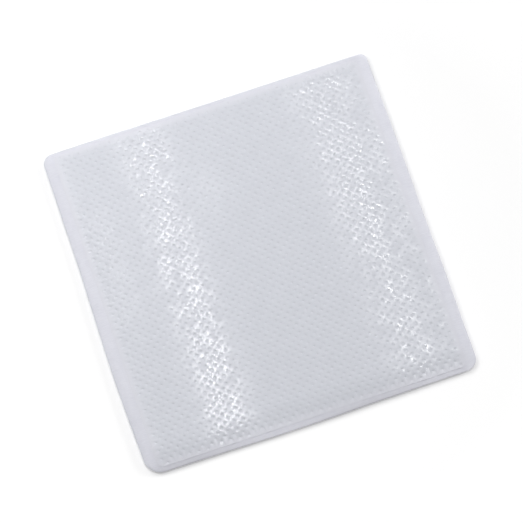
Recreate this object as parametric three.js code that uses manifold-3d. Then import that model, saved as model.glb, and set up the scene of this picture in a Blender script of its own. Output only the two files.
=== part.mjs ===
// Low adherent wound dressing: a soft fibre pad faced with a thin perforated film.
// Millimetres, +Z up. X runs between the two rolled side edges, Y between the two cut ends.
// The origin is the middle of the flat underside.

import * as THREE from 'three';
import { mergeVertices } from 'three/addons/utils/BufferGeometryUtils.js';
import Module from 'manifold-3d';

// Fibre pad
const padWidth = 100;
const padLength = 100;
const padThickness = 2.6;
const sideHeight = 1.1; // height at which the rolled edge is widest
const rimWidth = 5; // how far in from the edge the top starts to roll down
const baseInset = 1.2; // how far the edge tucks in under the pad
const cornerRadius = { backLeft: 3, backRight: 2.2, frontRight: 3.6, frontLeft: 5 };
const leftBow = 0.6; // the left edge swells outward, most of it near the front
const leftBowCentre = -16;
const leftBowReach = 34;
const frontBow = 0.4; // the front edge swells outward at its middle
const frontBowReach = 50;

// Waves that the soft pad lies in, their crests running from front to back
const waveHeight = 0.35;
const waveLength = 54;
const waveCrest = 18.5;
const waveDrift = 0.05; // sideways drift of a crest for each millimetre towards the back

// Perforated film
const filmThickness = 0.12; // at the bottom of a perforation's dimple
const landHeight = 0.26; // rise from a dimple to the lands between
const bondGap = 0.02; // adhesive between film and pad
const sideMargin = 3.2; // bare pad left and right of the film
const endMargin = 1.3; // bare pad at the front and back ends
const filmCornerRadius = 2;

// Lattice of the perforations: straight columns, each a little lower than the one to its left
const columnPitch = 1.3655;
const holeSpacing = 2.481; // between the holes of one column
const columnDrop = 0.1325;
const edgeShare = 0.35; // least distance from the film's edge to a lattice point, in pitches

// Facet sizes
const rimSteps = 4;
const underSteps = 2;
const crossStep = 7.5;
const lengthStep = 18;

const halfWidth = padWidth / 2;
const halfLength = padLength / 2;
const filmHalfWidth = halfWidth - sideMargin;
const filmHalfLength = halfLength - endMargin;

const wasm = await Module();
wasm.setup();

// Corner radius of the pad on the side of the centre lines where a point lies
function radiusAt(x, y) {
  if (y > 0) {
    return x < 0 ? cornerRadius.backLeft : cornerRadius.backRight;
  }
  return x < 0 ? cornerRadius.frontLeft : cornerRadius.frontRight;
}

// A smooth bump of height 1 at its centre that fades to 0 at its reach
function bump(t) {
  return Math.abs(t) < 1 ? (1 - t * t) ** 2 : 0;
}

// Outward swell of the two edges that aren't straight, fading to nothing inside the rim
function swell(x, y) {
  const left = leftBow * bump((y - leftBowCentre) / leftBowReach);
  const front = frontBow * bump(x / frontBowReach);
  const nearLeft = Math.max(0, 1 - (x + halfWidth) / rimWidth);
  const nearFront = Math.max(0, 1 - (y + halfLength) / rimWidth);
  return [-left * nearLeft, -front * nearFront];
}

// Distance in from the rounded square that is the pad's outline
function insetAt(x, y) {
  const r = radiusAt(x, y);
  const dx = Math.abs(x) - (halfWidth - r);
  const dy = Math.abs(y) - (halfLength - r);
  const outside = Math.hypot(Math.max(dx, 0), Math.max(dy, 0));
  return r - outside - Math.min(Math.max(dx, dy), 0);
}

// Height of the pad's top: waves that roll down to the side in a quarter ellipse
function padTop(x, y) {
  const inward = Math.min(Math.max(insetAt(x, y) / rimWidth, 0), 1);
  const roll = Math.sqrt(1 - (1 - inward) ** 2);
  const phase = (2 * Math.PI * (x - waveCrest - waveDrift * y)) / waveLength;
  const crown = padThickness - waveHeight + waveHeight * Math.cos(phase);
  return sideHeight + (crown - sideHeight) * roll;
}

// Takes a point of a plain square grid to the pad's outline and the rings inside it.
// Near a corner the two sides' last stretches bend into one arc, which fades out at the rim.
function roundedPoint(x, y) {
  const inset = Math.min(halfWidth - Math.abs(x), halfLength - Math.abs(y));
  const r = radiusAt(x, y) * Math.max(0, 1 - inset / rimWidth);
  const cornerX = halfWidth - inset - r;
  const cornerY = halfLength - inset - r;
  const overX = Math.abs(x) - cornerX;
  const overY = Math.abs(y) - cornerY;
  if (r <= 0 || overX <= 0 || overY <= 0) {
    return [x, y];
  }
  const turn = (Math.min(overX, overY) / r) * (Math.PI / 4);
  const angle = overX >= overY ? turn : Math.PI / 2 - turn;
  return [
    Math.sign(x) * (cornerX + r * Math.cos(angle)),
    Math.sign(y) * (cornerY + r * Math.sin(angle)),
  ];
}

// Grid lines across one direction: close together over the rolled rims, even between them
function gridLines(half, step) {
  const lines = [];
  for (let k = 0; k < rimSteps; k += 1) {
    lines.push(-half + rimWidth * (1 - Math.cos((k / rimSteps) * (Math.PI / 2))));
  }
  const inner = 2 * (half - rimWidth);
  const count = Math.max(2, Math.round(inner / step));
  for (let k = 0; k <= count; k += 1) {
    lines.push(rimWidth - half + (inner * k) / count);
  }
  for (let k = rimSteps - 1; k >= 0; k -= 1) {
    lines.push(-lines[k]);
  }
  return lines;
}

function meshFrom(points, triangles) {
  const geometry = new THREE.BufferGeometry();
  geometry.setAttribute('position', new THREE.Float32BufferAttribute(points.flat(), 3));
  geometry.setIndex(triangles.flat());
  return geometry;
}

// Indices of the outer loop of a grid, counter-clockwise seen from above
function outerLoop(nx, ny) {
  const at = (i, j) => j * (nx + 1) + i;
  const loop = [];
  for (let i = 0; i < nx; i += 1) {
    loop.push(at(i, 0));
  }
  for (let j = 0; j < ny; j += 1) {
    loop.push(at(nx, j));
  }
  for (let i = nx; i > 0; i -= 1) {
    loop.push(at(i, ny));
  }
  for (let j = ny; j > 0; j -= 1) {
    loop.push(at(0, j));
  }
  return loop;
}

// The pad: a wavy top grid, a rolled side that tucks in below its widest line, a flat base
function padGeometry() {
  const xs = gridLines(halfWidth, crossStep);
  const ys = gridLines(halfLength, lengthStep);
  const nx = xs.length - 1;
  const ny = ys.length - 1;
  const points = [];
  const triangles = [];
  for (const y of ys) {
    for (const x of xs) {
      const [px, py] = roundedPoint(x, y);
      const [sx, sy] = swell(px, py);
      points.push([px + sx, py + sy, padTop(px, py)]);
    }
  }
  for (let j = 0; j < ny; j += 1) {
    for (let i = 0; i < nx; i += 1) {
      const a = j * (nx + 1) + i;
      const b = a + 1;
      const c = b + nx + 1;
      const d = a + nx + 1;
      triangles.push([a, b, c], [a, c, d]);
    }
  }
  const loop = outerLoop(nx, ny);
  let above = loop;
  for (let k = 1; k <= underSteps; k += 1) {
    const angle = (k / underSteps) * (Math.PI / 2);
    const tuck = baseInset * (1 - Math.cos(angle));
    const z = sideHeight * (1 - Math.sin(angle));
    const below = loop.map((index) => {
      const x = points[index][0] * (1 - tuck / halfWidth);
      const y = points[index][1] * (1 - tuck / halfLength);
      return points.push([x, y, z]) - 1;
    });
    below.forEach((b, n) => {
      const next = (n + 1) % below.length;
      triangles.push([above[n], b, below[next]], [above[n], below[next], above[next]]);
    });
    above = below;
  }
  const base = above.map((index) => new THREE.Vector2(points[index][0], points[index][1]));
  for (const [a, b, c] of THREE.ShapeUtils.triangulateShape(base, [])) {
    triangles.push([above[a], above[c], above[b]]);
  }
  return meshFrom(points, triangles);
}

// Half the film's size in Y at a given X, less near its rounded corners
function filmReach(x) {
  const over = Math.max(0, Math.abs(x) - (filmHalfWidth - filmCornerRadius));
  return filmHalfLength - filmCornerRadius + Math.sqrt(filmCornerRadius ** 2 - over ** 2);
}

// Numbered lattice lines between two edges. The outermost line on each side lies on the edge,
// and one that would come closer to the edge than edgeShare of a pitch is left out.
function latticeLines(low, high, pitch, offset) {
  const first = Math.ceil((low - offset) / pitch + edgeShare);
  const last = Math.floor((high - offset) / pitch - edgeShare);
  const lines = [{ number: first - 1, at: low }];
  for (let number = first; number <= last; number += 1) {
    lines.push({ number, at: offset + number * pitch });
  }
  lines.push({ number: last + 1, at: high });
  return lines;
}

// The film's relief as columns of points that are in turn a dimple and a land
function reliefColumns() {
  return latticeLines(-filmHalfWidth, filmHalfWidth, columnPitch, 0).map((column) => {
    const x = column.at;
    const reach = filmReach(x);
    const drop = (-x / columnPitch) * columnDrop;
    return latticeLines(-reach, reach, holeSpacing / 2, drop).map((row) => {
      const y = row.at;
      const isLand = (column.number + row.number) % 2 !== 0;
      const z = padTop(x, y) + filmThickness + (isLand ? landHeight : 0);
      return { point: [x, y, z], isLand };
    });
  });
}

// Triangles between two neighbouring columns of points, both running towards the back. An edge
// from land to land comes first, so that ridges frame every dimple, and then the shorter edge.
function zipColumns(points, left, right) {
  const triangles = [];
  const gap = (p, q) => Math.abs(points[p.index][1] - points[q.index][1]);
  let l = 0;
  let r = 0;
  while (l < left.length - 1 || r < right.length - 1) {
    const nextLeft = left[l + 1];
    const nextRight = right[r + 1];
    let takeLeft = !nextRight;
    if (nextLeft && nextRight) {
      const ridgeToLeft = right[r].isLand && nextLeft.isLand;
      const ridgeToRight = left[l].isLand && nextRight.isLand;
      takeLeft = ridgeToLeft === ridgeToRight
        ? gap(right[r], nextLeft) < gap(left[l], nextRight)
        : ridgeToLeft;
    }
    const next = takeLeft ? nextLeft : nextRight;
    triangles.push([left[l].index, right[r].index, next.index]);
    l += takeLeft ? 1 : 0;
    r += takeLeft ? 0 : 1;
  }
  return triangles;
}

// A block of the film's outline whose top is the relief and whose base lies inside the pad
function reliefGeometry() {
  const points = [];
  const columns = reliefColumns().map((column) => column.map(({ point, isLand }) => {
    points.push(point);
    return { index: points.length - 1, isLand };
  }));
  const triangles = [];
  for (let n = 1; n < columns.length; n += 1) {
    triangles.push(...zipColumns(points, columns[n - 1], columns[n]));
  }
  const leftColumn = columns[0].map((entry) => entry.index);
  const rightColumn = columns.at(-1).map((entry) => entry.index);
  const between = columns.slice(1, -1);
  const loop = [
    leftColumn[0],
    ...between.map((column) => column[0].index),
    ...rightColumn,
    ...between.map((column) => column.at(-1).index).reverse(),
    ...leftColumn.slice(1).reverse(),
  ];
  const baseStart = points.length;
  loop.forEach((index) => points.push([points[index][0], points[index][1], sideHeight]));
  loop.forEach((index, n) => {
    const next = (n + 1) % loop.length;
    triangles.push([index, baseStart + n, baseStart + next], [index, baseStart + next, loop[next]]);
  });
  const outline = loop.map((index) => new THREE.Vector2(points[index][0], points[index][1]));
  for (const [a, b, c] of THREE.ShapeUtils.triangulateShape(outline, [])) {
    triangles.push([baseStart + a, baseStart + c, baseStart + b]);
  }
  return meshFrom(points, triangles);
}

function toSolid(geometry) {
  const merged = mergeVertices(geometry);
  return new wasm.Manifold(
    new wasm.Mesh({
      numProp: 3,
      vertProperties: new Float32Array(merged.attributes.position.array),
      triVerts: new Uint32Array(merged.index.array),
    }),
  );
}

function toGeometry(solid) {
  const mesh = solid.getMesh();
  const geometry = new THREE.BufferGeometry();
  geometry.setAttribute('position', new THREE.BufferAttribute(mesh.vertProperties, 3));
  geometry.setIndex(new THREE.BufferAttribute(mesh.triVerts, 1));
  return geometry;
}

// The film: what is left of the relief block above the pad and the bond
function filmGeometry(pad) {
  const raised = pad.clone().translate(0, 0, bondGap);
  return toGeometry(toSolid(reliefGeometry()).subtract(toSolid(raised)));
}

function namedMesh(name, geometry, material) {
  geometry.computeVertexNormals();
  const mesh = new THREE.Mesh(geometry, material);
  mesh.name = name;
  return mesh;
}

const fibreWhite = new THREE.MeshStandardMaterial({ color: 0xe4e5ee, roughness: 0.95, metalness: 0 });
const glossyFilm = new THREE.MeshStandardMaterial({ color: 0xd9dce5, roughness: 0.25, metalness: 0 });

const pad = padGeometry();
const dressing = new THREE.Group();
dressing.name = 'low_adherent_dressing';
dressing.add(namedMesh('absorbent_pad', pad, fibreWhite));
dressing.add(namedMesh('perforated_film', filmGeometry(pad), glossyFilm));

export default dressing;
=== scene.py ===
"""A low adherent wound dressing: a soft fibre pad faced with a glossy perforated film."""

import logging
import math
from dataclasses import dataclass, field
from enum import Enum, IntEnum

import bmesh
import bpy
import numpy as np
from mathutils import Matrix, Vector

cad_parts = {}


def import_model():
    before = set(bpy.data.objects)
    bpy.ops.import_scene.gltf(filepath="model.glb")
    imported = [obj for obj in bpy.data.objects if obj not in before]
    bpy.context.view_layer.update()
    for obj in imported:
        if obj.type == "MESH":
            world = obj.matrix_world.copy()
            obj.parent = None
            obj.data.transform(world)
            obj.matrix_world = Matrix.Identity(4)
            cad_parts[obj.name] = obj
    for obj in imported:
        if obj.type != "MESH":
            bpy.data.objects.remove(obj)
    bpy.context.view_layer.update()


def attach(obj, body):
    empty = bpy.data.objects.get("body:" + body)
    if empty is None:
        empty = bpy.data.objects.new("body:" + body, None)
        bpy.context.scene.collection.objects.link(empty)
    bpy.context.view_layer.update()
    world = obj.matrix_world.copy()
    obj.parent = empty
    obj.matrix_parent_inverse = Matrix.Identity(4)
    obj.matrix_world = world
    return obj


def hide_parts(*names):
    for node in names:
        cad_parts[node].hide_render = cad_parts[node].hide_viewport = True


log = logging.getLogger("dressing")

MM = 0.001
BODY = "root"
PAD_NODE = "absorbent_pad"
FILM_NODE = "perforated_film"
LOOSE = "looseness"
EDGE = "edge_bond"
# Painted shade: the fibre under the film is darkened, standing in for the shade on the fibre
# seen through the perforations.
UNDER_FILM_SHADE = "under_film_shade"
WHITE = (1, 1, 1, 1)
RING_POINTS = 8


class Slot(Enum):
    """The record's material slots."""

    FIBRE = "fibre_pad"
    FILM = "glossy_film"


class Seed(IntEnum):
    """Seeds of the random patterns."""

    TUFTS = 3
    FINE_TUFTS = 4
    OUTLINE = 5
    GLOSS = 8
    FILM = 11


def smooth_step(low: float, high: float, value: np.ndarray) -> np.ndarray:
    """Rises from 0 at low to 1 at high with level ends: t * t * (3 - 2 t).

    Args:
        low: Where the rise starts.
        high: Where it ends.
        value: The places to work it out for.

    Returns:
        The share of the rise at each place.
    """
    t = np.clip((value - low) / (high - low), 0.0, 1.0)
    return t * t * (3.0 - 2.0 * t)


@dataclass
class SoftNoise:
    """Smooth seeded noise between -1 and 1 over a plane.

    Attributes:
        seed: Picks the pattern.
        cell: Distance between the random values that it runs through.
        size: Number of random values each way, after which it repeats.
        values: Those values.
    """

    seed: int
    cell: float
    size: int = 64
    values: np.ndarray = field(init=False)

    def __post_init__(self) -> None:
        """Draws the random values."""
        draw = np.random.default_rng(self.seed)
        self.values = draw.uniform(-1.0, 1.0, (self.size, self.size))

    def at(self, x: np.ndarray, y: np.ndarray) -> np.ndarray:
        """The noise at each point: the four nearest values, mixed by smooth steps.

        Args:
            x: Places along X.
            y: Places along Y.

        Returns:
            One value for each point.
        """
        u, v = x / self.cell, y / self.cell
        i, j = np.floor(u).astype(int), np.floor(v).astype(int)
        s, t = smooth_step(0.0, 1.0, u - i), smooth_step(0.0, 1.0, v - j)
        i0, i1 = i % self.size, (i + 1) % self.size
        j0, j1 = j % self.size, (j + 1) % self.size
        low = self.values[i0, j0] * (1 - s) + self.values[i1, j0] * s
        high = self.values[i0, j1] * (1 - s) + self.values[i1, j1] * s
        return low * (1 - t) + high * t


@dataclass
class PadForm:
    """The pad's outer form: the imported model's, with a fuller roll and a sunk front edge.

    Attributes:
        width: Size along X between the rolled side edges.
        length: Size along Y between the cut ends.
        thickness: Height at the crest of a wave.
        side_height: Height at which the rolled edge is widest.
        rim_width: How far in from the edge the top starts to roll down.
        rim_powers: Fullness of the roll at the sides, back and front: 0.5 is an ellipse.
        corner_blend: Distance either side of a corner's diagonal over which those mix.
        front_sag: How far the top sinks towards the front edge, and over what width.
        base_inset: How far the edge tucks in under the pad.
        corner_radii: Back left, back right, front right, front left.
        left_bow: Outward swell of the left edge, its centre and its reach.
        front_bow: Outward swell of the front edge and its reach.
        wave_height: Half the rise from valley to crest.
        wave_length: From crest to crest.
        wave_crest: X of one crest.
        wave_drift: Sideways drift of a crest for each unit towards the back.
    """

    width: float = 100 * MM
    length: float = 100 * MM
    thickness: float = 2.6 * MM
    side_height: float = 1.1 * MM
    rim_width: float = 5 * MM
    rim_powers: tuple[float, float, float] = (0.3, 0.35, 0.55)
    corner_blend: float = 2 * MM
    front_sag: tuple[float, float] = (0.6 * MM, 8 * MM)
    base_inset: float = 1.2 * MM
    corner_radii: tuple[float, float, float, float] = (3 * MM, 2.2 * MM, 3.6 * MM, 5 * MM)
    left_bow: tuple[float, float, float] = (0.6 * MM, -16 * MM, 34 * MM)
    front_bow: tuple[float, float] = (0.4 * MM, 50 * MM)
    wave_height: float = 0.35 * MM
    wave_length: float = 54 * MM
    wave_crest: float = 18.5 * MM
    wave_drift: float = 0.05

    def corner_radius(self, x: np.ndarray, y: np.ndarray) -> np.ndarray:
        """Radius of the corner in whose quarter each point lies."""
        back_left, back_right, front_right, front_left = self.corner_radii
        back = np.where(x < 0, back_left, back_right)
        front = np.where(x < 0, front_left, front_right)
        return np.where(y > 0, back, front)

    def inset(self, x: np.ndarray, y: np.ndarray) -> np.ndarray:
        """Distance in from the outline, a square with a round corner in each quarter.

        Args:
            x: Places along X.
            y: Places along Y.

        Returns:
            The corner radius, less the distance from the box that the corner centres span.
        """
        radius = self.corner_radius(x, y)
        dx = np.abs(x) - (self.width / 2 - radius)
        dy = np.abs(y) - (self.length / 2 - radius)
        outside = np.hypot(np.maximum(dx, 0), np.maximum(dy, 0))
        return radius - outside - np.minimum(np.maximum(dx, dy), 0)

    def rim_power(self, x: np.ndarray, y: np.ndarray) -> np.ndarray:
        """Fullness of the roll at each point: the nearest edge's, mixed across the corners."""
        sides, back, front = self.rim_powers
        ends = np.where(y > 0, back, front)
        toward_end = (np.abs(y) - self.length / 2) - (np.abs(x) - self.width / 2)
        share = smooth_step(-self.corner_blend, self.corner_blend, toward_end)
        return sides + (ends - sides) * share

    def top(self, x: np.ndarray, y: np.ndarray) -> np.ndarray:
        """Height of the pad's top: cosine waves that roll down to the widest line.

        The waves sink by a smooth step towards the front. The roll is 1 - (1 - t) squared,
        raised to the rim's power, where t runs from 0 at the outline to 1 where the rim ends.

        Args:
            x: Places along X.
            y: Places along Y.

        Returns:
            The height at each place.
        """
        inward = np.clip(self.inset(x, y) / self.rim_width, 0.0, 1.0)
        roll = (1 - (1 - inward) ** 2) ** self.rim_power(x, y)
        phase = 2 * math.pi * (x - self.wave_crest - self.wave_drift * y) / self.wave_length
        crown = self.thickness - self.wave_height + self.wave_height * np.cos(phase)
        sag, reach = self.front_sag
        crown = crown - sag * (1 - smooth_step(0, reach, y + self.length / 2))
        return self.side_height + (crown - self.side_height) * roll

    def rounded(self, x: np.ndarray, y: np.ndarray) -> tuple[np.ndarray, np.ndarray]:
        """Takes points of a plain square to the rounded outline and the rings inside it.

        Near a corner the last stretches of the two sides bend into one arc: the distance
        past the arc's start becomes its angle, up to 45 degrees from either side. The arc's
        radius fades to nothing where the rim ends.

        Args:
            x: Places along X in the plain square.
            y: Places along Y in the plain square.

        Returns:
            The places along X and along Y in the rounded one.
        """
        half_x, half_y = self.width / 2, self.length / 2
        inset = np.minimum(half_x - np.abs(x), half_y - np.abs(y))
        radius = self.corner_radius(x, y) * np.maximum(0.0, 1 - inset / self.rim_width)
        corner_x, corner_y = half_x - inset - radius, half_y - inset - radius
        over_x, over_y = np.abs(x) - corner_x, np.abs(y) - corner_y
        bends = (radius > 0) & (over_x > 0) & (over_y > 0)
        turn = np.minimum(over_x, over_y) / np.where(radius > 0, radius, 1.0) * math.pi / 4
        angle = np.where(over_x >= over_y, turn, math.pi / 2 - turn)
        round_x = np.sign(x) * (corner_x + radius * np.cos(angle))
        round_y = np.sign(y) * (corner_y + radius * np.sin(angle))
        return np.where(bends, round_x, x), np.where(bends, round_y, y)

    def swell(self, x: np.ndarray, y: np.ndarray) -> tuple[np.ndarray, np.ndarray]:
        """Outward shift of the left and front edges: a smooth bump that fades over the rim."""
        height, centre, reach = self.left_bow
        left = height * np.clip(1 - ((y - centre) / reach) ** 2, 0, 1) ** 2
        front = self.front_bow[0] * np.clip(1 - (x / self.front_bow[1]) ** 2, 0, 1) ** 2
        near_left = np.clip(1 - (x + self.width / 2) / self.rim_width, 0, 1)
        near_front = np.clip(1 - (y + self.length / 2) / self.rim_width, 0, 1)
        return -left * near_left, -front * near_front


def mesh_object(name: str, points: np.ndarray, faces: np.ndarray) -> bpy.types.Object:
    """Makes a smooth-shaded object at the origin from whole arrays.

    Args:
        name: The piece's name.
        points: One row of x, y, z for each vertex.
        faces: One row of vertex numbers for each face, all with as many corners.

    Returns:
        The new object, linked to the scene.
    """
    mesh = bpy.data.meshes.new(name)
    mesh.from_pydata(points, [], faces.tolist())
    mesh.validate()
    mesh.shade_smooth()
    piece = bpy.data.objects.new(name, mesh)
    bpy.context.scene.collection.objects.link(piece)
    return piece


def vertices(mesh: bpy.types.Mesh) -> np.ndarray:
    """The mesh's vertices, one row of x, y, z each."""
    points = np.empty(len(mesh.vertices) * 3, dtype=np.float32)
    mesh.vertices.foreach_get("co", points)
    return points.reshape(-1, 3)


def keep(mesh: bpy.types.Mesh, name: str, values: np.ndarray) -> None:
    """Keeps one number for each vertex, under the name by which a finish reads it."""
    layer = mesh.attributes.new(name, "FLOAT", "POINT")
    layer.data.foreach_set("value", values.astype(np.float32))


@dataclass
class FibrePad:
    """The soft fibre pad, a pillow with rolled rims and a flat base.

    Attributes:
        form: The pad's outer form.
        step: Grid spacing between the rims.
        rim_steps: Grid lines over each rim.
        under_steps: Rows of faces from the widest line down to the base.
        fuzz: How far the fibres' tufts stand out on the bare rims.
        tuft_cells: Sizes of the tufts and of the finer ones on them.
        fine_share: Height of the finer ones against the others.
        bare_span: Distances in from the outline between which the tufts fade.
        sink: How far the pad lies below its form under the film, clear of it.
        wobble: How far the outline strays from its even run.
        wobble_cell: Length of the outline's strays.
        side_margin: Width of the bare fibre left and right, beyond the film, which the painted
            shade leaves out.
        shade_span: Distances in from the film's edge between which the painted shade under the
            film comes in.
    """

    form: PadForm
    step: float = 0.8 * MM
    rim_steps: int = 12
    under_steps: int = 6
    fuzz: float = 0.035 * MM
    tuft_cells: tuple[float, float] = (0.9 * MM, 0.4 * MM)
    fine_share: float = 0.6
    bare_span: tuple[float, float] = (1.0 * MM, 3.0 * MM)
    sink: float = 0.01 * MM
    wobble: float = 0.1 * MM
    wobble_cell: float = 9 * MM
    side_margin: float = 3.2 * MM
    shade_span: tuple[float, float] = (-1.4 * MM, 1.0 * MM)

    def lines(self, half: float) -> np.ndarray:
        """Grid lines across one direction: the rims' follow a cosine, the rest are even."""
        angle = np.linspace(0, math.pi / 2, self.rim_steps, endpoint=False)
        rim = -half + self.form.rim_width * (1 - np.cos(angle))
        inner = half - self.form.rim_width
        count = round(2 * inner / self.step)
        return np.concatenate([rim, np.linspace(-inner, inner, count + 1), -rim[::-1]])

    def build(self) -> bpy.types.Object:
        """Makes the pad: a wavy top grid, a rolled side that tucks under, and a flat base."""
        xs, ys = self.lines(self.form.width / 2), self.lines(self.form.length / 2)
        grid_x, grid_y = np.meshgrid(xs, ys)
        x, y = self.form.rounded(grid_x, grid_y)
        shift_x, shift_y = self.form.swell(x, y)
        z = self.form.top(x, y)
        coarse, fine = self.tuft_cells
        tuft = SoftNoise(Seed.TUFTS, coarse).at(x, y)
        tuft = tuft + self.fine_share * SoftNoise(Seed.FINE_TUFTS, fine).at(x, y)
        bare = 1 - smooth_step(*self.bare_span, self.form.inset(x, y))
        z = z + self.fuzz * tuft * bare - self.sink * (1 - bare)
        stray = SoftNoise(Seed.OUTLINE, self.wobble_cell).at(x, y) * bare * self.wobble
        x, y = x + shift_x + np.sign(x) * stray, y + shift_y + np.sign(y) * stray
        top = np.stack([x, y, z], axis=-1).reshape(-1, 3)

        rows, columns = grid_x.shape
        number = np.arange(rows * columns).reshape(rows, columns)
        quads = np.stack(
            [number[:-1, :-1], number[:-1, 1:], number[1:, 1:], number[1:, :-1]], axis=-1
        ).reshape(-1, 4)
        loop = np.concatenate(
            [number[0, :-1], number[:-1, -1], number[-1, :0:-1], number[:0:-1, 0]]
        )
        under, side = self.underside(top[loop], loop, len(top))
        points = np.concatenate([top, under])
        return self.closed(points, np.concatenate([quads, side]), len(points) - len(loop))

    def underside(
        self, edge: np.ndarray, loop: np.ndarray, start: int
    ) -> tuple[np.ndarray, np.ndarray]:
        """Rows below the widest line: a quarter ellipse in to the base.

        Args:
            edge: The points of the widest line.
            loop: Their numbers.
            start: The number of the first new point.

        Returns:
            The new points, and the faces between the rows.
        """
        angle = np.linspace(0, math.pi / 2, self.under_steps + 1)[1:, None]
        tuck = self.form.base_inset * (1 - np.cos(angle))
        x = edge[:, 0] * (1 - tuck / (self.form.width / 2))
        y = edge[:, 1] * (1 - tuck / (self.form.length / 2))
        z = edge[:, 2] * (1 - np.sin(angle))
        points = np.stack([x, y, z], axis=-1).reshape(-1, 3)
        count = len(loop)
        below = start + np.arange(self.under_steps * count).reshape(self.under_steps, count)
        above = np.concatenate([loop[None], below[:-1]])
        faces = np.stack(
            [above, below, np.roll(below, -1, axis=1), np.roll(above, -1, axis=1)], axis=-1
        )
        return points, faces.reshape(-1, 4)

    def closed(self, points: np.ndarray, faces: np.ndarray, base: int) -> bpy.types.Object:
        """Fills the base and returns the pad as one closed mesh.

        Args:
            points: All the points, with the base's loop last.
            faces: The quads.
            base: The number of the base loop's first point.

        Returns:
            The finished piece.
        """
        piece = mesh_object("fibre_pad", points, faces)
        shell = bmesh.new()
        shell.from_mesh(piece.data)
        shell.verts.ensure_lookup_table()
        shell.faces.new(reversed([shell.verts[n] for n in range(base, len(points))]))
        bmesh.ops.recalc_face_normals(shell, faces=shell.faces)
        shell.to_mesh(piece.data)
        shell.free()
        piece.data.shade_smooth()
        self.mark(piece.data)
        return piece

    def mark(self, mesh: bpy.types.Mesh) -> None:
        """Keeps for the finish where painted shade darkens the fibre: under the film, all but
        the bare side rims.
        """
        from_side = self.form.width / 2 - self.side_margin - np.abs(vertices(mesh)[:, 0])
        keep(mesh, UNDER_FILM_SHADE, smooth_step(*self.shade_span, from_side))


@dataclass(frozen=True)
class LooseBand:
    """A band or patch where the film lies loose: bell curves across it and along it.

    Attributes:
        share: How loose the film is in its middle.
        x: Its middle along X.
        width: Distance over which it fades across.
        drift: Its sideways drift for each unit towards the back.
        y: A patch's middle along Y.
        reach: Distance over which a patch fades along the pad. A band doesn't fade.
    """

    share: float
    x: float
    width: float
    drift: float = 0.0
    y: float = 0.0
    reach: float = math.inf

    def at(self, x: np.ndarray, y: np.ndarray) -> np.ndarray:
        """How loose it makes the film at each point."""
        across = (x - self.x - self.drift * y) / self.width
        along = (y - self.y) / self.reach
        return self.share * np.exp(-(across**2)) * np.exp(-(along**2))


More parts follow.
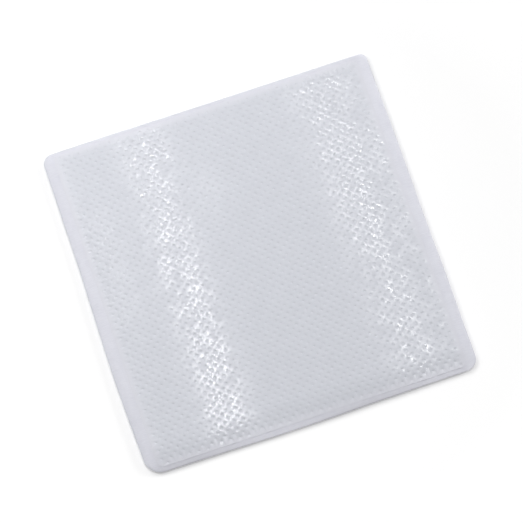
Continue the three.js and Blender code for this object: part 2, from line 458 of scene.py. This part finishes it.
@dataclass
class PerforatedFilm:
    """The film: a lattice of oval perforations with raised lands, laid over the pad.

    Attributes:
        form: The pad that it lies on.
        side_margin: Bare pad left and right of the film.
        end_margin: Bare pad at the front and back.
        corner_cut: Radius of the film's corners.
        column_pitch: Distance between columns of perforations.
        hole_spacing: Distance between the perforations of one column.
        column_drop: How much lower each column is than the one to its left.
        rim_clearance: Least distance from a perforation's middle to the outline.
        hole_radii: Half sizes of a perforation at the film's lower face.
        lip_share: Size of the lip against the perforation's lower edge.
        shoulder_share: Size of the shoulder, where the land turns down, against the same.
        land_height: Height of the lands above the pad.
        lip_height: Height at the perforation's lip.
        saddle_drop: How much lower the film is midway from land to land.
        bond: Gap between film and pad.
        least_rise: Least height of a cell's edge above the film's lower face.
        shoulder_drop: How much lower than the lands the shoulders are.
        pucker: Random rise and fall of the lands where the film is loosest.
        scatter: How far the lands stray sideways there.
        calm: Share of both where the film is drawn tight.
        size_spread: Share by which the perforations' sizes differ.
        off_centre: How far a perforation's middle strays.
        lean: How steeply a perforation's rim leans, in shares of the pucker for each mm.
        turn_spread: How far the perforations turn from the lattice's slope, in radians.
        crumples: Share of the pucker at the shoulder, the lip and the lower edge.
        edge_relief: Share of the relief that is left at the film's side edges.
        edge_fade: Distance in from them over which it grows to the full height.
        sharp: Angle from which an edge is shaded sharp.
        left_band: The left shiny band.
        right_band: The right one.
        right_front: The right one's share at the front, and where it rises to the full one.
        left_patch: The weaker patch near the left rim.
        middle_patch: The weaker patch towards the back.
        rim_bands: The narrow bands along both side edges, by their distance from the middle.
        gloss_gain: How much looser the finish takes the film to be than its form is.
        patches: Mean and swing of the random patches in that.
        patch_cell: Their size.
        gloss_inset: Distance in from the film's edge over which it comes in.
        bond_inset: Distance in from the film's edge over which the edge bond fades.
        seed: Picks the random draws.
    """

    form: PadForm
    side_margin: float = 3.2 * MM
    end_margin: float = 1.3 * MM
    corner_cut: float = 2 * MM
    column_pitch: float = 1.3655 * MM
    hole_spacing: float = 2.481 * MM
    column_drop: float = 0.1325 * MM
    rim_clearance: float = 0.8 * MM
    hole_radii: tuple[float, float] = (0.17 * MM, 0.12 * MM)
    lip_share: float = 1.9
    shoulder_share: float = 3.6
    land_height: float = 0.11 * MM
    lip_height: float = 0.035 * MM
    saddle_drop: float = 0.008 * MM
    bond: float = 0.012 * MM
    least_rise: float = 0.05 * MM
    shoulder_drop: float = 0.012 * MM
    pucker: float = 0.025 * MM
    scatter: float = 0.05 * MM
    calm: float = 0.25
    size_spread: float = 0.1
    off_centre: float = 0.04 * MM
    lean: float = 0.35
    turn_spread: float = 0.12
    crumples: tuple[float, float, float] = (1.0, 0.35, 0.0)
    edge_relief: float = 0.12
    edge_fade: float = 1.8 * MM
    sharp: float = math.radians(60)
    left_band: LooseBand = LooseBand(1.0, -22 * MM, 7.5 * MM, drift=0.03)
    right_band: LooseBand = LooseBand(1.0, 33.5 * MM, 9.5 * MM)
    right_front: tuple[float, float, float] = (0.65, -20 * MM, 30 * MM)
    left_patch: LooseBand = LooseBand(0.75, -41 * MM, 6 * MM, y=12 * MM, reach=20 * MM)
    middle_patch: LooseBand = LooseBand(0.4, -7 * MM, 5 * MM, y=25 * MM, reach=10 * MM)
    rim_bands: LooseBand = LooseBand(0.4, 46 * MM, 3 * MM)
    gloss_gain: float = 1.6
    patches: tuple[float, float] = (0.6, 0.6)
    patch_cell: float = 1.3 * MM
    gloss_inset: float = 1.6 * MM
    bond_inset: float = 2.4 * MM
    seed: int = Seed.FILM

    def looseness(self, x: np.ndarray, y: np.ndarray) -> np.ndarray:
        """Where the film is loose: two bands down the pad, two weaker patches and the sides.

        Args:
            x: Places along X.
            y: Places along Y.

        Returns:
            From 0, drawn tight, to 1, loosest: a sum of bell curves, cut off at 1.
        """
        front_share, start, end = self.right_front
        right = self.right_band.at(x, y)
        right *= front_share + (1 - front_share) * smooth_step(start, end, y)
        bands = self.left_band.at(x, y) + right
        patches = bands + self.left_patch.at(x, y) + self.middle_patch.at(x, y)
        return np.clip(patches + self.rim_bands.at(np.abs(x), y), 0, 1)

    def flatness(self, x: np.ndarray, y: np.ndarray) -> np.ndarray:
        """Fades the relief to nearly nothing at the film's own side edges."""
        from_side = self.form.width / 2 - self.side_margin - np.abs(x)
        grown = smooth_step(0.0, self.edge_fade, from_side)
        return self.edge_relief + (1 - self.edge_relief) * grown

    def height(self, x: np.ndarray, y: np.ndarray, rise: np.ndarray) -> np.ndarray:
        """Height of the film's upper face, given its rise above the pad."""
        return self.form.top(x, y) + self.bond + rise * self.flatness(x, y)

    def outline_inset(self, x: np.ndarray, y: np.ndarray) -> np.ndarray:
        """Distance in from the film's own outline, a rectangle with round corners."""
        dx = np.abs(x) - (self.form.width / 2 - self.side_margin - self.corner_cut)
        dy = np.abs(y) - (self.form.length / 2 - self.end_margin - self.corner_cut)
        outside = np.hypot(np.maximum(dx, 0), np.maximum(dy, 0))
        return self.corner_cut - outside - np.minimum(np.maximum(dx, dy), 0)

    def to_outline(self, x: np.ndarray, y: np.ndarray) -> tuple[np.ndarray, np.ndarray]:
        """Takes each point to the outline, in three steps down the inset's slope."""
        tiny, steps, least_slope = 0.001 * MM, 3, 1e-9
        for _ in range(steps):
            inset = self.outline_inset(x, y)
            slope_x = (self.outline_inset(x + tiny, y) - self.outline_inset(x - tiny, y)) / 2
            slope_y = (self.outline_inset(x, y + tiny) - self.outline_inset(x, y - tiny)) / 2
            steep = np.maximum(np.hypot(slope_x, slope_y), least_slope)
            x, y = x - inset * slope_x / steep, y - inset * slope_y / steep
        return x, y

    def build(self) -> bpy.types.Object:
        """Makes the film: every cell is a diamond of eight points round one perforation.

        The cell's edge runs through four lands and the four points between them. From it
        the upper face goes in to a rounded shoulder, the lip and the lower edge, and the
        lower face comes back out to the cell's edge. Cells share their edge points. The
        outermost edge points are drawn to the film's outline, where a low wall joins the
        two faces.

        Returns:
            The finished piece.
        """
        draw = np.random.default_rng(self.seed)
        pitch_y = self.hole_spacing / 2
        near_x = math.ceil(self.form.width / 2 / self.column_pitch)
        near_y = math.ceil((self.form.length / 2 + near_x * self.column_drop) / pitch_y)
        i, j = np.meshgrid(np.arange(-near_x, near_x + 1), np.arange(-near_y, near_y + 1))
        x = i * self.column_pitch
        y = j * pitch_y - i * self.column_drop
        loose = self.calm + (1 - self.calm) * self.looseness(x, y)

        shape = i.shape
        land_x = x + draw.normal(0, self.scatter, shape) * loose
        land_y = y + draw.normal(0, self.scatter, shape) * loose
        land_rise = self.land_height + draw.normal(0, self.pucker, shape) * loose
        edge_x, edge_y, edge_rise = [land_x], [land_y], [land_rise]
        for row_step in (1, -1):
            other_x = np.roll(land_x, (-row_step, 1), (0, 1))
            other_y = np.roll(land_y, (-row_step, 1), (0, 1))
            other = np.roll(land_rise, (-row_step, 1), (0, 1))
            edge_x.append((land_x + other_x) / 2)
            edge_y.append((land_y + other_y) / 2)
            saddle = (land_rise + other) / 2 - self.saddle_drop
            edge_rise.append(saddle + draw.normal(0, self.pucker, shape) * loose)
        px, py = np.stack(edge_x).ravel(), np.stack(edge_y).ravel()
        rise = np.maximum(np.stack(edge_rise), self.least_rise).ravel()

        land, rising, falling = np.arange(3 * i.size).reshape(3, *shape)
        holes = ((i + j) % 2 == 0) & (self.outline_inset(x, y) > self.rim_clearance)
        r, c = np.nonzero(holes)
        ring = np.stack(
            [
                land[r, c + 1], rising[r, c + 1], land[r + 1, c], falling[r + 1, c],
                land[r, c - 1], rising[r - 1, c], land[r - 1, c], falling[r, c + 1],
            ],
            axis=-1,
        )
        start, end = self.free_edges(ring)
        px[start], py[start] = self.to_outline(px[start], py[start])
        upper = np.stack([px, py, self.height(px, py, rise)], -1)
        lower = np.stack([px, py, self.form.top(px, py) + self.bond], -1)
        rings = self.hole_rings(x[r, c], y[r, c], loose[r, c], draw)
        points, faces = self.join(upper, lower, ring, rings)
        wall = np.stack([end, start, start + len(upper), end + len(upper)], axis=-1)
        used, faces = np.unique(np.concatenate([faces, wall]), return_inverse=True)
        piece = mesh_object("perforated_film_sheet", points[used], faces.reshape(-1, 4))
        piece.data.set_sharp_from_angle(angle=self.sharp)
        self.mark(piece.data)
        return piece

    def free_edges(self, ring: np.ndarray) -> tuple[np.ndarray, np.ndarray]:
        """The cells' edges that no neighbour shares, as their first and last points."""
        start, end = ring.ravel(), np.roll(ring, -1, axis=1).ravel()
        size = ring.max() + 1
        free = ~np.isin(start * size + end, end * size + start)
        return start[free], end[free]

    def hole_rings(
        self, x: np.ndarray, y: np.ndarray, loose: np.ndarray, draw: np.random.Generator
    ) -> np.ndarray:
        """The three rings of each perforation: shoulder, lip and lower edge.

        Each is an ellipse of eight points. Its size, place and lean vary a little from
        hole to hole.

        Args:
            x: The holes' places along X.
            y: The holes' places along Y.
            loose: How loose the film is there.
            draw: The random draws.

        Returns:
            An array of rings by holes by eight points by three coordinates.
        """
        count = len(x)
        angle = np.arange(RING_POINTS) * 2 * math.pi / RING_POINTS
        size = 1 + self.size_spread * draw.standard_normal(count)
        off_x, off_y = draw.normal(0, self.off_centre, (2, count))
        lean = draw.normal(0, self.lean, (2, count)) * self.pucker / MM * loose
        turn = -math.atan(self.column_drop / self.column_pitch)
        turn = turn + draw.normal(0, self.turn_spread, count)
        c, s = np.cos(turn)[:, None], np.sin(turn)[:, None]
        rings = []
        shares = (self.shoulder_share, self.lip_share, 1.0)
        rises = (self.land_height - self.shoulder_drop, self.lip_height, 0.0)
        for share, level, crumple in zip(shares, rises, self.crumples):
            along = self.hole_radii[0] * share * size[:, None] * np.cos(angle)
            across = self.hole_radii[1] * share * size[:, None] * np.sin(angle)
            dx, dy = along * c - across * s, along * s + across * c
            px, py = (x + off_x)[:, None] + dx, (y + off_y)[:, None] + dy
            stray = draw.normal(0, self.pucker, px.shape) * loose[:, None]
            rise = level + crumple * (lean[0][:, None] * dx + lean[1][:, None] * dy + stray)
            rings.append(np.stack([px, py, self.height(px, py, rise)], axis=-1))
        return np.stack(rings)

    def join(
        self, upper: np.ndarray, lower: np.ndarray, ring: np.ndarray, rings: np.ndarray
    ) -> tuple[np.ndarray, np.ndarray]:
        """Numbers the points and makes quads from ring to ring.

        Args:
            upper: Points of the cells' edges on the upper face.
            lower: The same points on the lower face.
            ring: The eight edge points of each hole's cell.
            rings: The rings inside it, from the outer one to the lower edge.

        Returns:
            The points and the quads.
        """
        count = ring.shape[0]
        inner = 2 * len(upper) + np.arange(rings[..., 0].size).reshape(-1, count, RING_POINTS)
        steps = [ring, *inner, ring + len(upper)]
        quads = [
            np.stack([a, np.roll(a, -1, 1), np.roll(b, -1, 1), b], axis=-1).reshape(-1, 4)
            for a, b in zip(steps[:-1], steps[1:])
        ]
        points = np.concatenate([upper, lower, rings.reshape(-1, 3)])
        return points, np.concatenate(quads)

    def mark(self, mesh: bpy.types.Mesh) -> None:
        """Keeps two attributes for the finish: how loose the film is, and its edge bond."""
        x, y, _ = vertices(mesh).T
        inset = self.outline_inset(x, y)
        mean, swing = self.patches
        patchy = mean + swing * SoftNoise(Seed.GLOSS, self.patch_cell).at(x, y)
        loose = self.gloss_gain * self.looseness(x, y) * patchy
        loose *= smooth_step(0.0, self.gloss_inset, inset)
        keep(mesh, LOOSE, np.clip(loose, 0, 1))
        keep(mesh, EDGE, 1 - smooth_step(0.0, self.bond_inset, inset))


def socket(owner: bpy.types.Node, name: str) -> bpy.types.NodeSocket:
    """The input socket of that name."""
    return owner.inputs[name]


def node(nodes: bpy.types.Nodes, kind: str, **values: object) -> bpy.types.Node:
    """Adds a shader node and sets values on its sockets.

    Args:
        nodes: Where it goes.
        kind: Its type, without ShaderNode.
        values: What its sockets get, by their names with _ for each space.

    Returns:
        The new node.
    """
    made = nodes.new("ShaderNode" + kind)
    for name, value in values.items():
        socket(made, name.replace("_", " ")).default_value = value
    return made


def fibre_node(
    nodes: bpy.types.Nodes,
    grain: bpy.types.NodeTree,
    finish: "FibreFinish | FilmFinish",
) -> bpy.types.Node:
    """The shared fibre grain with a finish's own colours and scale."""
    fibre = nodes.new("ShaderNodeGroup")
    fibre.node_tree = grain
    socket(fibre, "Light").default_value = finish.light
    socket(fibre, "Shade").default_value = finish.shade
    socket(fibre, "Strand scale").default_value = finish.strand_scale
    return fibre


def combined(
    nodes: bpy.types.Nodes,
    links: bpy.types.NodeLinks,
    operation: str,
    first: bpy.types.NodeSocket,
    second: bpy.types.NodeSocket,
) -> bpy.types.NodeSocket:
    """Two numbers put together by a math node."""
    made = nodes.new("ShaderNodeMath")
    made.operation = operation
    links.new(first, made.inputs[0])
    links.new(second, made.inputs[1])
    return made.outputs[0]


def attribute(nodes: bpy.types.Nodes, name: str) -> bpy.types.NodeSocket:
    """The number that a mesh keeps for each vertex under that name."""
    made = nodes.new("ShaderNodeAttribute")
    made.attribute_name = name
    return made.outputs["Fac"]


@dataclass(frozen=True)
class FibreGrain:
    """Matted fibre, shared by the bare pad and by what the film shows.

    Attributes:
        strands: Turn and stretch of each layer of long fine strands.
        strand_detail: Detail and roughness of the strands' noise.
        clump_scale: Noise scale of the soft clumps.
        clump_detail: Detail of the clumps' noise.
        clump_share: Weight of the clumps against the strands.
        shade_sum: Sum of the two at which the colour is the shade.
        light_sum: Sum at which it is the light one.
    """

    strands: tuple[tuple[float, float], ...] = ((0.5, 9.0), (-0.9, 7.0))
    strand_detail: tuple[float, float] = (3.0, 0.6)
    clump_scale: float = 260.0
    clump_detail: float = 2.0
    clump_share: float = 0.6
    shade_sum: float = 0.6
    light_sum: float = 1.05

    def group(self) -> bpy.types.NodeTree:
        """Builds the node group that puts out the fibre's colour and height.

        The higher of two layers of strands, each drawn out along a turned axis, is added to
        soft clumps. The colour runs from the shade to the light one by their sum.

        Returns:
            The group, with inputs Light, Shade and Strand scale, and outputs Color and
            Height.
        """
        group = bpy.data.node_groups.new("fibre_grain", "ShaderNodeTree")
        face = group.interface
        for name, kind in (("Light", "NodeSocketColor"), ("Shade", "NodeSocketColor")):
            face.new_socket(name, in_out="INPUT", socket_type=kind)
        face.new_socket("Strand scale", in_out="INPUT", socket_type="NodeSocketFloat")
        face.new_socket("Color", in_out="OUTPUT", socket_type="NodeSocketColor")
        face.new_socket("Height", in_out="OUTPUT", socket_type="NodeSocketFloat")
        nodes, links = group.nodes, group.links
        given, out = nodes.new("NodeGroupInput"), nodes.new("NodeGroupOutput")
        place = nodes.new("ShaderNodeTexCoord")
        layers = []
        detail, roughness = self.strand_detail
        for turn, stretch in self.strands:
            mapping = node(nodes, "Mapping", Rotation=(0, 0, turn), Scale=(1.0, stretch, 1.0))
            strands = node(nodes, "TexNoise", Detail=detail, Roughness=roughness)
            links.new(place.outputs["Object"], mapping.inputs["Vector"])
            links.new(mapping.outputs["Vector"], strands.inputs["Vector"])
            links.new(given.outputs["Strand scale"], strands.inputs["Scale"])
            layers.append(strands.outputs["Fac"])
        clumps = node(nodes, "TexNoise", Scale=self.clump_scale, Detail=self.clump_detail)
        links.new(place.outputs["Object"], clumps.inputs["Vector"])
        higher = combined(nodes, links, "MAXIMUM", *layers)
        height = nodes.new("ShaderNodeMath")
        height.operation = "MULTIPLY_ADD"
        height.inputs[1].default_value = self.clump_share
        links.new(clumps.outputs["Fac"], height.inputs[0])
        links.new(higher, height.inputs[2])
        share = node(nodes, "MapRange", From_Min=self.shade_sum, From_Max=self.light_sum)
        links.new(height.outputs[0], share.inputs["Value"])
        mix = nodes.new("ShaderNodeMix")
        mix.data_type = "RGBA"
        links.new(share.outputs["Result"], mix.inputs["Factor"])
        links.new(given.outputs["Shade"], mix.inputs["A"])
        links.new(given.outputs["Light"], mix.inputs["B"])
        links.new(mix.outputs["Result"], out.inputs["Color"])
        links.new(height.outputs[0], out.inputs["Height"])
        return group


@dataclass(frozen=True)
class FibreFinish:
    """Matt bluish-white fibre.

    Attributes:
        light: Colour of the strands on top.
        shade: Colour between them.
        under_film_shade: Share of its brightness that the fibre keeps under the film, as
            painted shade for the shadowed fibre seen through the perforations.
        strand_scale: Noise scale of the strands.
        bump: Depth of the strands in the bump.
        bump_strength: Share of that depth that shows.
        roughness: Surface roughness.
        sheen: Weight of the soft sheen of fine fibres.
    """

    light: tuple[float, float, float, float] = (0.725, 0.73, 0.79, 1)
    shade: tuple[float, float, float, float] = (0.665, 0.67, 0.735, 1)
    under_film_shade: float = 0.93
    strand_scale: float = 420.0
    bump: float = 0.08 * MM
    bump_strength: float = 0.5
    roughness: float = 0.95
    sheen: float = 0.08

    def material(self, grain: bpy.types.NodeTree) -> bpy.types.Material:
        """Builds the material round the shared fibre grain."""
        made, nodes, links, shader = principled("matted_fibre")
        socket(shader, "Roughness").default_value = self.roughness
        socket(shader, "Sheen Weight").default_value = self.sheen
        fibre = fibre_node(nodes, grain, self)
        bump = node(nodes, "Bump", Strength=self.bump_strength, Distance=self.bump)
        # Painted shade: the fibre's colour is darkened where it lies under the film.
        shade_share = node(nodes, "MapRange", To_Min=1.0, To_Max=self.under_film_shade)
        shaded_colour = nodes.new("ShaderNodeVectorMath")
        shaded_colour.operation = "SCALE"
        links.new(attribute(nodes, UNDER_FILM_SHADE), shade_share.inputs["Value"])
        links.new(fibre.outputs["Color"], shaded_colour.inputs[0])
        links.new(shade_share.outputs["Result"], shaded_colour.inputs["Scale"])
        links.new(shaded_colour.outputs["Vector"], shader.inputs["Base Color"])
        links.new(fibre.outputs["Height"], bump.inputs["Height"])
        links.new(bump.outputs["Normal"], shader.inputs["Normal"])
        return made


@dataclass(frozen=True)
class FilmFinish:
    """Thin glossy film that takes its colour from the fibre under it.

    Attributes:
        light: Colour over the fibre's strands.
        shade: Colour between them.
        edge: Colour at the film's edge, where it is bonded flat to the fibre.
        strand_scale: Noise scale of the strands seen through the film.
        roughness: Roughness where the film is tight and where it is loose.
        ior: Refractive index of the film.
        crease_scale: Noise scale of the film's finest creases.
        crease_detail: Detail of their noise.
        crinkle: Their depth in the bump.
        crinkle_strength: Share of that depth where it is tight and where it is loose.
    """

    light: tuple[float, float, float, float] = (0.595, 0.61, 0.66, 1)
    shade: tuple[float, float, float, float] = (0.57, 0.585, 0.635, 1)
    edge: tuple[float, float, float, float] = (0.65, 0.655, 0.71, 1)
    strand_scale: float = 300.0
    roughness: tuple[float, float] = (0.55, 0.12)
    ior: float = 1.5
    crease_scale: float = 3600.0
    crease_detail: float = 1.0
    crinkle: float = 0.036 * MM
    crinkle_strength: tuple[float, float] = (0.06, 1.0)

    def material(self, grain: bpy.types.NodeTree) -> bpy.types.Material:
        """Builds the material round the shared fibre grain."""
        made, nodes, links, shader = principled("perforated_film_gloss")
        socket(shader, "IOR").default_value = self.ior
        fibre = fibre_node(nodes, grain, self)
        place = nodes.new("ShaderNodeTexCoord")
        creases = node(nodes, "TexNoise", Scale=self.crease_scale, Detail=self.crease_detail)
        loose = attribute(nodes, LOOSE)
        (tight, slack), (least, most) = self.roughness, self.crinkle_strength
        rough = node(nodes, "MapRange", To_Min=tight, To_Max=slack)
        depth = node(nodes, "MapRange", To_Min=least, To_Max=most)
        bump = node(nodes, "Bump", Distance=self.crinkle)
        links.new(place.outputs["Object"], creases.inputs["Vector"])
        links.new(loose, rough.inputs["Value"])
        links.new(loose, depth.inputs["Value"])
        links.new(depth.outputs["Result"], bump.inputs["Strength"])
        links.new(rough.outputs["Result"], shader.inputs["Roughness"])
        links.new(creases.outputs["Fac"], bump.inputs["Height"])
        links.new(bump.outputs["Normal"], shader.inputs["Normal"])
        mix = nodes.new("ShaderNodeMix")
        mix.data_type = "RGBA"
        socket(mix, "B").default_value = self.edge
        links.new(attribute(nodes, EDGE), mix.inputs["Factor"])
        links.new(fibre.outputs["Color"], mix.inputs["A"])
        links.new(mix.outputs["Result"], shader.inputs["Base Color"])
        return made


def principled(
    name: str,
) -> tuple[bpy.types.Material, bpy.types.Nodes, bpy.types.NodeLinks, bpy.types.Node]:
    """A new material with its nodes, links and Principled shader."""
    made = bpy.data.materials.new(name)
    made.use_nodes = True
    tree = made.node_tree
    return made, tree.nodes, tree.links, tree.nodes["Principled BSDF"]


@dataclass(frozen=True)
class Panel:
    """A soft rectangular light that faces the dressing.

    Attributes:
        name: Its name.
        toward: Its direction from the dressing.
        distance: How far away it is.
        size: Its width and its height.
        power: Its power in watts.
    """

    name: str
    toward: tuple[float, float, float]
    distance: float
    size: tuple[float, float]
    power: float

    def build(self) -> None:
        """Makes the light, with its width level and its face towards the dressing."""
        panel = bpy.data.lights.new(self.name, "AREA")
        panel.shape = "RECTANGLE"
        panel.size, panel.size_y = self.size
        panel.energy = self.power
        lamp = bpy.data.objects.new(self.name, panel)
        toward = Vector(self.toward).normalized()
        spin = toward.to_track_quat("Z", "Y").to_matrix().to_4x4()
        lamp.matrix_world = Matrix.Translation(toward * self.distance) @ spin
        lamp.visible_camera = False
        bpy.context.scene.collection.objects.link(lamp)


BACK_PANEL = Panel(
    "back_panel", toward=(-0.32, 0.56, 0.78), distance=0.38, size=(0.44, 0.2), power=0.84
)
SIDE_PANEL = Panel(
    "side_panel", toward=(0.9, 0.12, 0.38), distance=1.6, size=(0.5, 0.5), power=7.5
)
HIGH_PANEL = Panel(
    "high_panel", toward=(0.13, 0.15, 0.979), distance=2.0, size=(0.22, 0.22), power=6.8
)


@dataclass
class Studio:
    """Pale floor, soft light and the camera.

    Attributes:
        azimuth: The camera's bearing round the dressing, in degrees.
        elevation: Its height above the horizon, in degrees.
        distance: From the camera to what it aims at.
        aim: The point on the floor that it aims at.
        focal_share: Focal length in widths of the picture, both in pixels.
        sensor: Width of the sensor in millimetres.
        clip: Nearest and farthest distance that the camera sees.
        panels: The soft lights.
        sky: Strength of the even light from all round.
        floor_reach: From the floor's middle to its edges.
        floor_white: The floor's own colour.
        lift_span: Places along Y between which the lift changes.
        floor_lift: What the floor adds, as the camera sees it, at the front and at the back.
        far_span: Distances from the dressing between which a further lift grows.
        far_lift: That lift far from the dressing, where less light falls.
    """

    azimuth: float = -18.81
    elevation: float = 75.64
    distance: float = 1.0
    aim: tuple[float, float, float] = (0.844 * MM, -0.066 * MM, 0.0)
    focal_share: float = 3450 / 523
    sensor: float = 36.0
    clip: tuple[float, float] = (0.01, 20.0)
    panels: tuple[Panel, ...] = (BACK_PANEL, SIDE_PANEL, HIGH_PANEL)
    sky: float = 0.38
    floor_reach: float = 3.0
    floor_white: tuple[float, float, float, float] = (0.9, 0.9, 0.9, 1)
    lift_span: tuple[float, float] = (-0.08, 0.08)
    floor_lift: tuple[float, float] = (0.185, 0.03)
    far_span: tuple[float, float] = (0.08, 0.4)
    far_lift: float = 0.5

    def camera(self) -> None:
        """Places the camera at the photograph's viewing angle and makes it the scene's."""
        turn, rise = math.radians(self.azimuth), math.radians(self.elevation)
        back = Vector((
            math.sin(turn) * math.cos(rise), -math.cos(turn) * math.cos(rise), math.sin(rise),
        ))
        lens = bpy.data.cameras.new("camera")
        lens.sensor_width = self.sensor
        lens.lens = lens.sensor_width * self.focal_share
        lens.clip_start, lens.clip_end = self.clip
        camera = bpy.data.objects.new("camera", lens)
        spin = (-back).to_track_quat("-Z", "Y").to_matrix().to_4x4()
        camera.matrix_world = Matrix.Translation(Vector(self.aim) + back * self.distance) @ spin
        bpy.context.scene.collection.objects.link(camera)
        bpy.context.scene.camera = camera

    def world(self) -> None:
        """An even sky that the camera, gloss and glass see as plain white."""
        sky = bpy.data.worlds.new("sky")
        sky.use_nodes = True
        nodes, links = sky.node_tree.nodes, sky.node_tree.links
        even = nodes["Background"]
        socket(even, "Strength").default_value = self.sky
        socket(even, "Color").default_value = WHITE
        seen = node(nodes, "Background", Color=WHITE, Strength=1.0)
        mix = nodes.new("ShaderNodeMixShader")
        links.new(self.seen_rays(nodes, links), mix.inputs["Fac"])
        links.new(even.outputs[0], mix.inputs[1])
        links.new(seen.outputs[0], mix.inputs[2])
        links.new(mix.outputs[0], nodes["World Output"].inputs["Surface"])
        bpy.context.scene.world = sky

    def seen_rays(
        self, nodes: bpy.types.Nodes, links: bpy.types.NodeLinks
    ) -> bpy.types.NodeSocket:
        """1 for rays from the camera, from gloss and through glass, and 0 for the rest."""
        ray = nodes.new("ShaderNodeLightPath").outputs
        either = combined(nodes, links, "MAXIMUM", ray["Is Camera Ray"], ray["Is Glossy Ray"])
        return combined(nodes, links, "MAXIMUM", either, ray["Is Transmission Ray"])

    def floor(self) -> None:
        """A wide white floor that keeps the dressing's shadow."""
        corners = np.array([[-1, -1, 0], [1, -1, 0], [1, 1, 0], [-1, 1, 0]])
        corners = corners * self.floor_reach
        ground = mesh_object("floor", corners, np.array([[0, 1, 2, 3]]))
        made, nodes, links, shader = principled("floor_white")
        socket(shader, "Base Color").default_value = self.floor_white
        socket(shader, "Roughness").default_value = 1.0
        socket(shader, "Specular IOR Level").default_value = 0.0
        lift = node(nodes, "Emission", Color=WHITE)
        place = nodes.new("ShaderNodeTexCoord")
        axes = nodes.new("ShaderNodeSeparateXYZ")
        (front, back), (at_front, at_back) = self.lift_span, self.floor_lift
        even = node(
            nodes, "MapRange", From_Min=front, From_Max=back, To_Min=at_front, To_Max=at_back
        )
        links.new(place.outputs["Object"], axes.inputs["Vector"])
        links.new(axes.outputs["Y"], even.inputs["Value"])
        away = nodes.new("ShaderNodeVectorMath")
        away.operation = "LENGTH"
        links.new(place.outputs["Object"], away.inputs[0])
        near, distant = self.far_span
        far = node(nodes, "MapRange", From_Min=near, From_Max=distant, To_Max=self.far_lift)
        links.new(away.outputs["Value"], far.inputs["Value"])
        lifts = combined(nodes, links, "ADD", even.outputs["Result"], far.outputs["Result"])
        strength = combined(nodes, links, "MULTIPLY", self.seen_rays(nodes, links), lifts)
        links.new(strength, lift.inputs["Strength"])
        both = nodes.new("ShaderNodeAddShader")
        links.new(shader.outputs[0], both.inputs[0])
        links.new(lift.outputs[0], both.inputs[1])
        links.new(both.outputs[0], nodes["Material Output"].inputs["Surface"])
        ground.data.materials.append(made)

    def build(self) -> None:
        """Sets the plain view of colours, the camera, the light and the floor."""
        bpy.context.scene.view_settings.view_transform = "Standard"
        self.camera()
        for panel in self.panels:
            panel.build()
        self.world()
        self.floor()


@dataclass
class Dressing:
    """The whole dressing: its pad and its film, with their finishes."""

    form: PadForm = field(default_factory=PadForm)
    grain: FibreGrain = field(default_factory=FibreGrain)
    fibre: FibreFinish = field(default_factory=FibreFinish)
    gloss: FilmFinish = field(default_factory=FilmFinish)

    def build(self) -> None:
        """Makes, dresses and declares both pieces."""
        grain = self.grain.group()
        pad = FibrePad(self.form).build()
        pad.data.materials.append(self.fibre.material(grain))
        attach(pad, BODY)
        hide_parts(PAD_NODE)
        log.info("%s: %d faces", pad.name, len(pad.data.polygons))

        sheet = PerforatedFilm(self.form)
        film = sheet.build()
        film.data.materials.append(self.gloss.material(grain))
        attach(film, BODY)
        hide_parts(FILM_NODE)
        log.info("%s: %d faces", film.name, len(film.data.polygons))


def main() -> None:
    """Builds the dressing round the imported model."""
    logging.basicConfig(level=logging.INFO, format="%(name)s %(message)s")
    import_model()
    Studio().build()
    Dressing().build()


if __name__ == "__main__":
    main()
